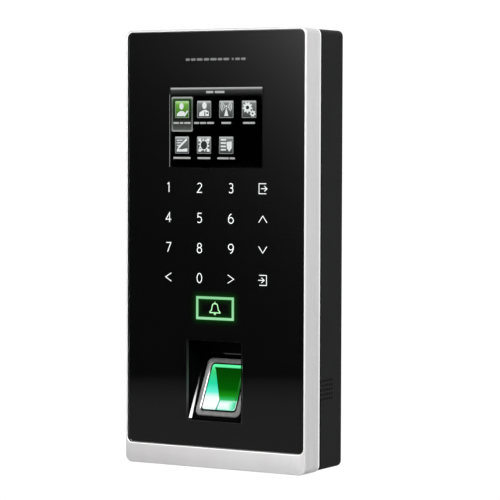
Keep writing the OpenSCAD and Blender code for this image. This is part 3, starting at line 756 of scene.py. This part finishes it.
def glow_material():
    """Green light that spills over the film round the lit outline and fades with distance."""
    mat, tree, shader = new_material("bell_glow")
    places = axes(tree)

    def past(place, half):
        return maths(tree, "SUBTRACT", maths(tree, "ABSOLUTE", place), half)

    def squared(value):
        return maths(tree, "POWER", maths(tree, "MAXIMUM", value, 0), 2)

    across = past(places["X"], BELL_HALF_W)
    upward = past(maths(tree, "SUBTRACT", places["Z"], BELL_Z), BELL_HALF_H)
    outside = maths(tree, "SQRT", maths(tree, "ADD", squared(across), squared(upward)))
    inside = maths(tree, "MINIMUM", maths(tree, "MAXIMUM", across, upward), 0)
    distance = maths(tree, "ABSOLUTE", maths(tree, "ADD", outside, inside))
    colour = ramp(tree, maths(tree, "DIVIDE", distance, GLOW_FADE), [
        (0.0, (0.0, 0.2, 0.01)), (0.17, (0.0, 0.048, 0.002)), (0.36, (0.0, 0.012, 0.0)), (0.8, grey(0)),
    ])
    shader.inputs["Base Color"].default_value = (0.0008, 0.0008, 0.0009, 1)
    shader.inputs["Roughness"].default_value = 0.3
    shader.inputs["Specular IOR Level"].default_value = 0.0
    tree.links.new(colour, shader.inputs["Emission Color"])
    shader.inputs["Emission Strength"].default_value = 1.0
    return mat


def make_bell_key():
    bm = bmesh.new()
    w, h = BELL_HALF_W, BELL_HALF_H
    corners = placed([(w, h), (-w, h), (-w, -h), (w, -h)], 0, BELL_Z)
    stroke(bm, corners, BELL_LINE, INK_FRONT, INK_BACK, True)
    add_piece("bell_key_outline", bm, BELL_GREEN)

    bm = bmesh.new()
    for points, closed in bell_strokes():
        stroke(bm, placed(points, 0, BELL_Z, BELL_SCALE), BELL_PEN, INK_FRONT, INK_BACK, closed)
    add_piece("bell_icon", bm, BELL_ICON_GREEN)

    bm = bmesh.new()
    outline = rounded_loop(BELL_W + 2 * GLOW_REACH, BELL_H + 2 * GLOW_REACH, GLOW_REACH)
    flat_shape(bm, placed(outline, 0, BELL_Z), GLOW_FRONT, GLOW_BACK)
    add_piece("bell_glow", bm, glow_material())


make_bell_key()

# ---------------------------------------------------------------- finger recess and sensor

SLOPE = math.radians(26.9)
GLAZE = 0.05
RING_DEEP = 1.2 * MM
RING_PROUD = 0.3 * MM
RING_CORNER = 2.6 * MM
RING_TIGHTEN = 0.4
PRISM_W = 17.6 * MM
PRISM_L = 22.3 * MM
PRISM_CORNER = 1.3 * MM
RING_W = 23.8 * MM
RING_L = 28.6 * MM
UP_SLOPE = Vector((0, math.sin(SLOPE), math.cos(SLOPE)))
OFF_SLOPE = Vector((0, -math.cos(SLOPE), math.sin(SLOPE)))
SLOPE_FOOT = (RING_LOW + RING_HIGH) / 2 + OFF_SLOPE * (RING_DEEP - RING_PROUD) / 2


def slope_point(x, up, out):
    """A point on the sensor's sloping face: across it, up it, and out from it."""
    return Vector((x, SLOPE_FOOT.y, SLOPE_FOOT.z)) + UP_SLOPE * up + OFF_SLOPE * out


def slope_ring(width, length, radius, out):
    return [slope_point(x, up, out) for x, up in rounded_loop(width, length, radius, 8)]


RECESS_HALF = 14.5 * MM
RECESS_TOP = -41.8 * MM
RECESS_BOTTOM = -78.7 * MM
RECESS_DEPTH = 14.65 * MM
GROOVE_FRONT = 1.85 * MM
GROOVE_BACK = 0.14 * MM
GROOVE_FALL = (0.713, 1.06)
GROOVE_STEPS = 10
BACK_ROUND = 0.6 * MM
ROUND_STEPS = 6


def make_recess():
    """Black pocket with a sloping floor, and a tapering gloss groove along each side of it; the walls
    carry painted shade, with their sheen turned almost off, and the grooves are a lighter, glossier lit
    copy of the same plastic that catches the highlight.
    """
    rim = RECESS_Y
    back = rim + RECESS_DEPTH

    def floor_at(y, x):
        return Vector((x, y, SLOPE_FOOT.z + (y - SLOPE_FOOT.y) / math.tan(SLOPE)))

    bend = back - BACK_ROUND * math.sin(SLOPE)
    walls, gloss = bmesh.new(), bmesh.new()

    def sheet(bm, *corners):
        bm.faces.new([bm.verts.new(c) for c in corners])

    for side in (-1, 1):
        wall = side * RECESS_HALF
        edge, foot, lip = [], [], []
        for i in range(GROOVE_STEPS + 1):
            t = i / GROOVE_STEPS
            y = rim + (bend - rim) * t
            wide = GROOVE_FRONT + (GROOVE_BACK - GROOVE_FRONT) * t
            fall = GROOVE_FALL[0] + (GROOVE_FALL[1] - GROOVE_FALL[0]) * t
            edge.append(floor_at(y, wall))
            lip.append(floor_at(y, wall - side * wide))
            foot.append(floor_at(y, wall - side * wide) - OFF_SLOPE * wide * fall)
        for i in range(GROOVE_STEPS):
            sheet(gloss, edge[i], foot[i], foot[i + 1], edge[i + 1])
            sheet(walls, foot[i], lip[i], lip[i + 1], foot[i + 1])
        sheet(walls, edge[0], edge[-1], Vector((wall, back, floor_at(back, 0).z + BACK_ROUND)),
              Vector((wall, back, RECESS_TOP)), Vector((wall, rim, RECESS_TOP)))
        sheet(walls, edge[0], foot[0], lip[0])
    inner, deep = RECESS_HALF - GROOVE_FRONT, RECESS_HALF - GROOVE_BACK
    sheet(walls, floor_at(rim, -inner), floor_at(rim, inner), floor_at(bend, deep), floor_at(bend, -deep))
    corner, start = floor_at(back, 0), floor_at(bend, 0)
    end = corner + Vector((0, 0, BACK_ROUND))
    sweep = []
    for i in range(ROUND_STEPS + 1):
        t = i / ROUND_STEPS
        sweep.append(start * (1 - t) ** 2 + corner * 2 * t * (1 - t) + end * t ** 2)
    across = Vector((RECESS_HALF, 0, 0))
    for bm, path in (
        (gloss, sweep),
        (walls, [end, Vector((0, back, RECESS_TOP)), Vector((0, rim, RECESS_TOP))]),
        (walls, [floor_at(rim, 0), Vector((0, rim, RECESS_BOTTOM))]),
    ):
        for low, high in zip(path, path[1:]):
            sheet(bm, low - across, low + across, high + across, high - across)
    for name, bm, material in (
        ("recess_walls", walls, RECESS_PAINTED_SHADE),
        ("recess_grooves", gloss, RECESS_HIGHLIGHT_COPY),
    ):
        piece = add_piece(name, bm, material, 40)
        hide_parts("sensor_recess")


def make_sensor_ring():
    """Satin ring with a chamfer outside, a flat top, and a dish towards the prism."""
    profile = (
        (0, -RING_DEEP), (0, 0), (0.35 * MM, RING_PROUD), (2.05 * MM, RING_PROUD - 0.02 * MM),
        (2.4 * MM, 0.05 * MM), (2.68 * MM, -0.2 * MM), (2.68 * MM, -RING_DEEP),
    )
    rings = [
        slope_ring(RING_W - 2 * inset, RING_L - 2 * inset, RING_CORNER - RING_TIGHTEN * inset, out)
        for inset, out in profile
    ]
    piece = add_piece("ring_form", loft(rings), RING_METAL, 25)
    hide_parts("sensor_ring")


PLATE_LIFT = 0.01 * MM
PLATE_THICK = 0.02 * MM


def prism_plate(name, outline, layer, material):
    """A lit patch of the prism, as thin glass lying on its face; outline in fractions of the face."""
    low = PLATE_LIFT + layer * PLATE_THICK
    base, top = (
        [slope_point((u - 0.5) * PRISM_W, (v - 0.5) * PRISM_L, out) for u, v in outline]
        for out in (low, low + PLATE_THICK)
    )
    bm = bmesh.new()
    solid_between(bm, top, base)
    add_piece(name, bm, material)


def round_corner(u, v):
    """Points of one round corner of the face, going round it anticlockwise."""
    ru, rv = PRISM_CORNER / PRISM_W, PRISM_CORNER / PRISM_L
    start = {(0, 0): 180, (1, 0): 270, (1, 1): 0, (0, 1): 90}[u, v]
    return arc((ru, 1 - ru)[u], (rv, 1 - rv)[v], ru, start, start + 90, 5, rv / ru)


def make_prism_light():
    foot_left, foot_right = round_corner(0, 0), round_corner(1, 0)
    top_right, top_left = round_corner(1, 1), round_corner(0, 1)
    # Each plate: name, axis of its fade, stops of the fade, layer, and outline
    plates = (
        ("prism_core", "Z", [
            (0.0, (0.25, 0.85, 0.62)), (0.04, (0.75, 1.0, 0.94)), (0.13, (0.95, 1.0, 0.99)),
            (0.185, (0.55, 1.0, 0.86)), (0.23, (0.03, 0.52, 0.12)), (0.32, (0.008, 0.27, 0.006)),
            (0.46, (0.0, 0.10, 0.0)), (0.75, (0.0, 0.062, 0.0)), (1.0, (0.0, 0.05, 0.0)),
        ], 0, foot_left + foot_right + top_right + top_left),
        ("prism_facet", "Z", [
            (0.0, (0.75, 1.0, 0.92)), (0.06, (0.98, 1.0, 0.99)), (0.27, (0.92, 1.0, 0.98)),
            (0.39, (0.14, 0.93, 0.70)), (0.58, (0.02, 0.72, 0.40)), (0.85, (0.04, 0.66, 0.20)),
            (1.0, (0.13, 0.95, 0.38)),
        ], 2, foot_left + [
            (0.41, 0.0), (0.44, 0.10), (0.46, 0.22), (0.13, 0.87), (0.07, 0.94),
        ] + top_left[3:]),
        ("prism_strip", "Z", [
            (0.0, (0.05, 0.60, 0.20)), (0.35, (0.16, 1.0, 0.45)), (1.0, (0.12, 0.95, 0.38)),
        ], 3, [(0.07, 0.93), (0.94, 0.93)] + top_right[1:] + top_left[:4]),
        ("prism_side", "Z", [
            (0.0, (0.02, 0.25, 0.06)), (0.3, (0.012, 0.14, 0.02)), (1.0, (0.045, 0.22, 0.05)),
        ], 1, [(0.93, 0.22), (0.965, 0.22), (0.965, 0.93), (0.93, 0.93)]),
        ("prism_seam", "Z", [
            (0.0, (0.0, 0.32, 0.24)), (0.7, (0.02, 0.45, 0.35)), (1.0, (0.01, 0.3, 0.15)),
        ], 1, [(0.41, 0.0), (0.455, 0.0), (0.49, 0.23), (0.46, 0.22), (0.44, 0.10)]),
        ("prism_dusk", "X", [
            (0.0, (0.80, 1.0, 0.94)), (0.5, (0.25, 0.92, 0.60)), (1.0, (0.05, 0.60, 0.28)),
        ], 1, [(0.76, 0.012), (0.93, 0.012), (0.985, 0.05), (0.985, 0.19), (0.76, 0.19)]),
    )
    for name, axis, stops, layer, outline in plates:
        prism_plate(name, outline, layer, fade(name, axis, stops, specular=GLAZE))


make_recess()
make_sensor_ring()
make_prism_light()

# ---------------------------------------------------------------- display picture

PICTURE_W = 48.96
PICTURE_H = 36.72
PICTURE_BACK = LCD_Y - 0.01 * MM
LAYER_STEP = 0.03 * MM
LAYER_THICK = 0.02 * MM


def on_screen(x, y):
    """A point of the picture, in millimetres right and down from its upper left corner."""
    return ((x - PICTURE_W / 2) * MM, LCD_Z + (PICTURE_H / 2 - y) * MM)


def screen_shape(name, outlines, layer, material):
    """Flat shapes on the display; a higher layer lies further forward."""
    bm = bmesh.new()
    front = PICTURE_BACK - layer * LAYER_STEP
    for outline in outlines:
        flat_shape(bm, [on_screen(x, y) for x, y in outline], front, front + LAYER_THICK)
    add_piece(name, bm, material)


def panel(left, top, right, bottom, radius=0.3):
    """A rectangle with round corners."""
    outline = rounded_loop(right - left, bottom - top, radius, 4)
    return placed(outline, (left + right) / 2, (top + bottom) / 2)


def disc(cx, cy, radius, squash=1.0):
    return arc(cx, cy, radius, 0, 360, 20, squash)[:-1]


def bar(x0, y0, x1, y1, width):
    """A straight bar between two points."""
    start, end = Vector((x0, y0)), Vector((x1, y1))
    along = (end - start).normalized() * width / 2
    side = Vector((-along.y, along.x))
    return [start + side, start - side, end - side, end + side]


GEAR_ROOT = 0.74


def gear(cx, cy, radius, teeth):
    points = []
    for i in range(teeth * 4):
        reach = radius if i % 4 in (0, 1) else radius * GEAR_ROOT
        angle = 2 * math.pi * (i + 0.5) / (teeth * 4)
        points.append((cx + reach * math.cos(angle), cy + reach * math.sin(angle)))
    return points


TILE_W = 7.35
TILE_H = 7.7
TILE_X = [2.75, 14.55, 26.35, 38.3]
TILE_Y = [6.25, 22.5]
LABEL_Y = [15.5, 31.5]

TILE_GREY = fade("tile_grey", "Z", [
    (0, (0.05, 0.055, 0.055)), (0.85, (0.20, 0.21, 0.21)), (1, (0.66, 0.68, 0.68)),
])
TILE_GREEN = fade("tile_green", "Z", [
    (0, (0.03, 0.13, 0.01)), (0.8, (0.16, 0.42, 0.06)), (1, (0.55, 0.85, 0.35)),
])
TILE_EDGE = lamp("tile_edge", (0.42, 0.44, 0.44))
ICON_WHITE = lamp("icon_white", (0.85, 0.88, 0.87))
ICON_DARK = lamp("icon_dark", (0.03, 0.035, 0.035))
LABEL_GREY = lamp("label_grey", grey(0.50))
HEADER = fade("header_bar", "Z", [
    (0, grey(0)), (0.25, grey(0.012)), (0.72, grey(0.055)), (0.84, grey(0.30)), (0.95, grey(0.62)),
])
FRAME_GREY = fade("selection_frame", "Z", [
    (0, (0.34, 0.35, 0.34)), (0.2, (0.17, 0.18, 0.17)), (0.6, (0.10, 0.12, 0.10)),
    (0.9, (0.16, 0.19, 0.16)), (1, (0.46, 0.48, 0.46)),
])
FRAME_DARK = fade("selection_well", "Z", [
    (0, (0.10, 0.105, 0.10)), (0.16, (0.05, 0.055, 0.05)), (0.34, (0.008, 0.014, 0.006)),
    (0.9, (0.012, 0.05, 0.008)), (1, (0.04, 0.09, 0.03)),
])


# Each icon gives its shapes, and the dark hollows in them, from the tile's upper left corner

def person_icon():
    shoulders = [(0.8, 6.9), (1.1, 5.6), (2.7, 4.6), (4.2, 4.6), (5.2, 5.2), (5.0, 6.9)]
    return [disc(3.4, 2.4, 1.15, 1.3), shoulders, bar(4.9, 6.9, 6.7, 4.5, 0.75)], []


def role_icon():
    arms = [(1.0, 6.9), (1.3, 5.3), (3.0, 4.3), (4.6, 4.0), (6.2, 4.9), (6.3, 6.9)]
    hollows = [panel(3.9, 4.9, 4.4, 6.8, 0.1), panel(4.9, 5.2, 5.9, 5.9, 0.1)]
    return [disc(3.9, 2.1, 1.2, 1.3), arms], hollows


def mast_icon():
    shapes = [[(3.7, 2.9), (4.8, 6.9), (2.6, 6.9)], disc(3.7, 2.5, 0.45)]
    for middle in (180, 0):
        for reach in (1.15, 2.0, 2.85):
            wave = arc(3.7, 2.6, reach, middle - 46, middle + 46, 4)
            shapes += [bar(*start, *end, 0.34) for start, end in zip(wave, wave[1:])]
    return shapes, []


def gears_icon():
    return [gear(2.9, 3.1, 2.6, 9), gear(5.6, 5.8, 1.55, 7)], [disc(2.9, 3.1, 0.85), disc(5.6, 5.8, 0.45)]


def chart_icon():
    lines = [bar(0.9, 1.7 + 1.15 * i, 3.9 - 0.5 * i, 1.7 + 1.15 * i, 0.42) for i in range(3)]
    hill = [(0.8, 6.9), (1.0, 5.5), (3.4, 5.8), (6.6, 5.3), (6.6, 6.9)]
    return lines + [bar(1.6, 5.3, 6.3, 1.2, 0.95), hill], [bar(2.3, 5.6, 6.9, 1.7, 0.25)]


def badge_icon():
    corners = [panel(0.7, 0.8, 2.2, 2.2), panel(5.2, 0.8, 6.7, 2.2),
               panel(0.7, 5.5, 2.2, 6.9), panel(5.2, 5.5, 6.7, 6.9)]
    return corners + [gear(3.7, 3.85, 2.9, 10)], [disc(3.7, 3.85, 1.7, 1.15)]


def notes_icon():
    lines = [bar(0.8, 1.4 + 1.5 * i, 3.6, 1.4 + 1.5 * i, 0.75) for i in range(4)]
    shield = [(3.9, 2.4), (6.6, 2.1), (6.6, 5.2), (5.3, 6.8), (4.1, 5.4)]
    return lines + [shield], []


# Column, row, name and icon of each tile, and the widths of the grey bars that stand for its label
TILES = [
    (0, 0, "person", person_icon, (2.9, 1.9, 3.4)), (1, 0, "role", role_icon, (2.6, 3.3, 3.6)),
    (2, 0, "mast", mast_icon, (5.0,)), (3, 0, "gears", gears_icon, (6.2,)),
    (0, 1, "chart", chart_icon, (9.2,)), (1, 1, "badge", badge_icon, (6.8,)),
    (2, 1, "notes", notes_icon, (6.0, 2.7)),
]
LABEL_GAP = 0.5


def make_display():
    """A plain menu: a header, seven tiles with icons and label bars, and a frame round the first tile."""
    screen_shape("screen_header", [panel(0.2, 0.2, PICTURE_W - 0.2, 4.1, 0.1)], 1, HEADER)
    screen_shape("screen_select", [panel(0.75, 4.35, 12.15, 20.25, 0.8)], 1, FRAME_GREY)
    screen_shape("screen_well", [panel(1.45, 5.1, 11.45, 19.45, 0.5)], 2, FRAME_DARK)
    title = [panel(19.3, 1.75, 23.1, 2.75, 0.2), panel(23.9, 1.75, 29.0, 2.75, 0.2)]
    screen_shape("screen_title", title, 3, LABEL_GREY)
    screen_shape("screen_edge", [panel(-0.35, 3.2, -0.2, 36.4, 0.07)], 1, LABEL_GREY)
    all_hollows = []
    for column, row, name, icon, widths in TILES:
        x, y = TILE_X[column], TILE_Y[row]
        colour = TILE_GREEN if name == "person" else TILE_GREY
        screen_shape(f"tile_edge_{name}", [panel(x, y, x + TILE_W, y + TILE_H)], 3, TILE_EDGE)
        tile = panel(x + 0.2, y + 0.12, x + TILE_W - 0.2, y + TILE_H - 0.2, 0.2)
        screen_shape(f"tile_{name}", [tile], 4, colour)
        shapes, hollows = ([placed(outline, x, y) for outline in part] for part in icon())
        screen_shape(f"icon_{name}", shapes, 5, ICON_WHITE)
        all_hollows += hollows
        left = x + (TILE_W - sum(widths) - LABEL_GAP * (len(widths) - 1)) / 2
        bars = []
        for width in widths:
            bars.append(panel(left, LABEL_Y[row] + 0.35, left + width, LABEL_Y[row] + 1.2, 0.2))
            left += width + LABEL_GAP
        screen_shape(f"label_{name}", bars, 5, LABEL_GREY)
    screen_shape("icon_hollows", all_hollows, 6, ICON_DARK)


make_display()

# ---------------------------------------------------------------- studio


FLOOR_Z = -0.165
FLOOR_HALF = 14.0
ROOM_LEVEL = 0.33
WHITE_LEVEL = 1.05


def seen_by_camera(tree, unseen, seen):
    """Mixes two shaders: one for the camera and one for every other ray."""
    path = tree.nodes.new("ShaderNodeLightPath")
    mix = tree.nodes.new("ShaderNodeMixShader")
    tree.links.new(path.outputs["Is Camera Ray"], mix.inputs[0])
    tree.links.new(unseen, mix.inputs[1])
    tree.links.new(seen, mix.inputs[2])
    return mix.outputs[0]


def make_floor():
    """A pale floor that lights the object from below and is plain white to the camera."""
    mat, tree, shader = new_material("pale_floor")
    varied(tree, shader, grey(0.5), 0.01, noise(tree, 3, 2))
    shader.inputs["Roughness"].default_value = 0.8
    shader.inputs["Specular IOR Level"].default_value = 0.1
    lit = tree.nodes.new("ShaderNodeEmission")
    lit.inputs[1].default_value = WHITE_LEVEL
    surface = seen_by_camera(tree, shader.outputs[0], lit.outputs[0])
    tree.links.new(surface, tree.nodes["Material Output"].inputs[0])
    bm = bmesh.new()
    bmesh.ops.create_grid(bm, x_segments=4, y_segments=4, size=FLOOR_HALF)
    mesh = bpy.data.meshes.new("floor")
    bm.to_mesh(mesh)
    bm.free()
    floor = bpy.data.objects.new("floor", mesh)
    floor.location = (0, 0, FLOOR_Z)
    floor.visible_glossy = False
    mesh.materials.append(mat)
    bpy.context.scene.collection.objects.link(floor)


def make_world():
    """A dim room that darkens overhead, and is plain white to the camera."""
    world = bpy.data.worlds.new("studio")
    bpy.context.scene.world = world
    world.use_nodes = True
    tree = world.node_tree
    tree.nodes.clear()
    out = tree.nodes.new("ShaderNodeOutputWorld")
    room = tree.nodes.new("ShaderNodeBackground")
    ceiling = ramp(tree, axes(tree, "Generated")["Z"], [(0.25, grey(1)), (0.6, grey(0.12))])
    tree.links.new(ceiling, room.inputs[0])
    room.inputs[1].default_value = ROOM_LEVEL
    white = tree.nodes.new("ShaderNodeBackground")
    white.inputs[0].default_value = (1, 1, 1, 1)
    white.inputs[1].default_value = WHITE_LEVEL
    tree.links.new(seen_by_camera(tree, room.outputs[0], white.outputs[0]), out.inputs[0])


def reflection_sheet(name, corners, material):
    """A flat sheet that only reflections see."""
    mesh = bpy.data.meshes.new(name)
    mesh.from_pydata(corners, [], [(0, 2, 3, 1)])
    mesh.materials.append(material)
    sheet = bpy.data.objects.new(name, mesh)
    bpy.context.scene.collection.objects.link(sheet)
    sheet.visible_camera = False
    sheet.visible_diffuse = False
    sheet.visible_shadow = False


CARD_CENTRE = Vector((-0.646, -1.1, 0))
CARD_WIDTH = 1.0
CARD_Z = (-0.5, 0.35)
# The part of the card that fills the glass front: its right and top edges, its width and its height
FILL_RIGHT_X = -0.545
FILL_TOP_Z = 0.154
FILL_W = 0.2015
FILL_H = 0.381
# The bright patch: how it rises across the width and the height, where it levels off, and its brightness
RISE_ACROSS = 3.0
RISE_UPWARD = 4.7
RISE_LIMIT = 0.3
PATCH_LEVEL = 1.75
CARD_LEVEL = 0.055


def card_material():
    """Dark, paler low down, and brightening to the upper right of what the glass mirrors."""
    mat = bpy.data.materials.new("reflection_card")
    mat.use_nodes = True
    tree = mat.node_tree
    tree.nodes.clear()
    out = tree.nodes.new("ShaderNodeOutputMaterial")
    glow = tree.nodes.new("ShaderNodeEmission")
    shade = ramp(tree, axes(tree, "Generated")["Z"], [
        (0.0, grey(0.32)), (0.30, grey(0.35)), (0.345, grey(0.31)), (0.367, grey(0.17)), (0.380, grey(0)),
        (1.0, grey(0)),
    ])
    places = axes(tree)
    across = maths(tree, "SUBTRACT", places["X"], FILL_RIGHT_X)
    across = maths(tree, "MULTIPLY", across, RISE_ACROSS / FILL_W)
    upward = maths(tree, "SUBTRACT", places["Z"], FILL_TOP_Z)
    upward = maths(tree, "MULTIPLY", upward, RISE_UPWARD / FILL_H)
    rise = maths(tree, "MINIMUM", maths(tree, "ADD", across, upward), RISE_LIMIT)
    patch = maths(tree, "EXPONENT", rise)
    upper = maths(tree, "ADD", maths(tree, "MULTIPLY", patch, PATCH_LEVEL), CARD_LEVEL)
    tree.links.new(maths(tree, "MAXIMUM", upper, shade), glow.inputs[0])
    tree.links.new(glow.outputs[0], out.inputs[0])
    return mat


def reflection_card():
    side = Vector((math.cos(CAM_AZIMUTH), -math.sin(CAM_AZIMUTH), 0)) * CARD_WIDTH / 2
    ends = [CARD_CENTRE - side, CARD_CENTRE + side]
    corners = [(end.x, end.y, z) for end in ends for z in CARD_Z]
    reflection_sheet("reflection_card", corners, card_material())


FLAG_Y = -1.025
# How far the glass moves the sight of the display to the side
GLASS_SHIFT = 0.91 * MM


def reflection_flag():
    """A black flag before the card, so that the display mirrors nothing bright."""
    mat, _, shader = new_material("reflection_flag")
    shader.inputs["Base Color"].default_value = (0, 0, 0, 1)
    shader.inputs["Specular IOR Level"].default_value = 0.0
    eye = bpy.context.scene.camera.location.copy()
    eye.y = 2 * FRONT_Y - eye.y
    corners = []
    for x in (-PICTURE_W / 2, PICTURE_W / 2):
        for z in (-PICTURE_H / 2, PICTURE_H / 2):
            through = Vector((x * MM + GLASS_SHIFT, FRONT_Y, LCD_Z + z * MM))
            corners.append(eye + (through - eye) * (FLAG_Y - eye.y) / (through.y - eye.y))
    reflection_sheet("reflection_flag", corners, mat)


# Name, place, size and power of each area light; all face the origin
LIGHTS = (
    ("key", (0.9, -0.75, 1.05), (0.55, 0.55), 19.4),
    ("side", (1.25, 0.2, 0.5), (0.7, 0.8), 6.1),
    ("front", (-0.05, -1.45, 0.9), (0.8, 0.5), 19.2),
    ("left", (-1.3, 0.3, 0.3), (0.8, 0.8), 5),
    ("back", (-0.5, 1.4, 0.4), (1.2, 0.8), 7),
)


def make_lights():
    for name, place, size, power in LIGHTS:
        data = bpy.data.lights.new(name, "AREA")
        data.shape = "RECTANGLE"
        data.size, data.size_y = size
        data.energy = power
        light = bpy.data.objects.new(name, data)
        light.location = place
        light.rotation_mode = "QUATERNION"
        light.rotation_quaternion = (-Vector(place)).to_track_quat("-Z", "Y")
        bpy.context.scene.collection.objects.link(light)


def make_studio():
    view = bpy.context.scene.view_settings
    view.view_transform = "Standard"
    view.look = "None"
    make_floor()
    make_world()
    reflection_card()
    reflection_flag()
    make_lights()


make_studio()
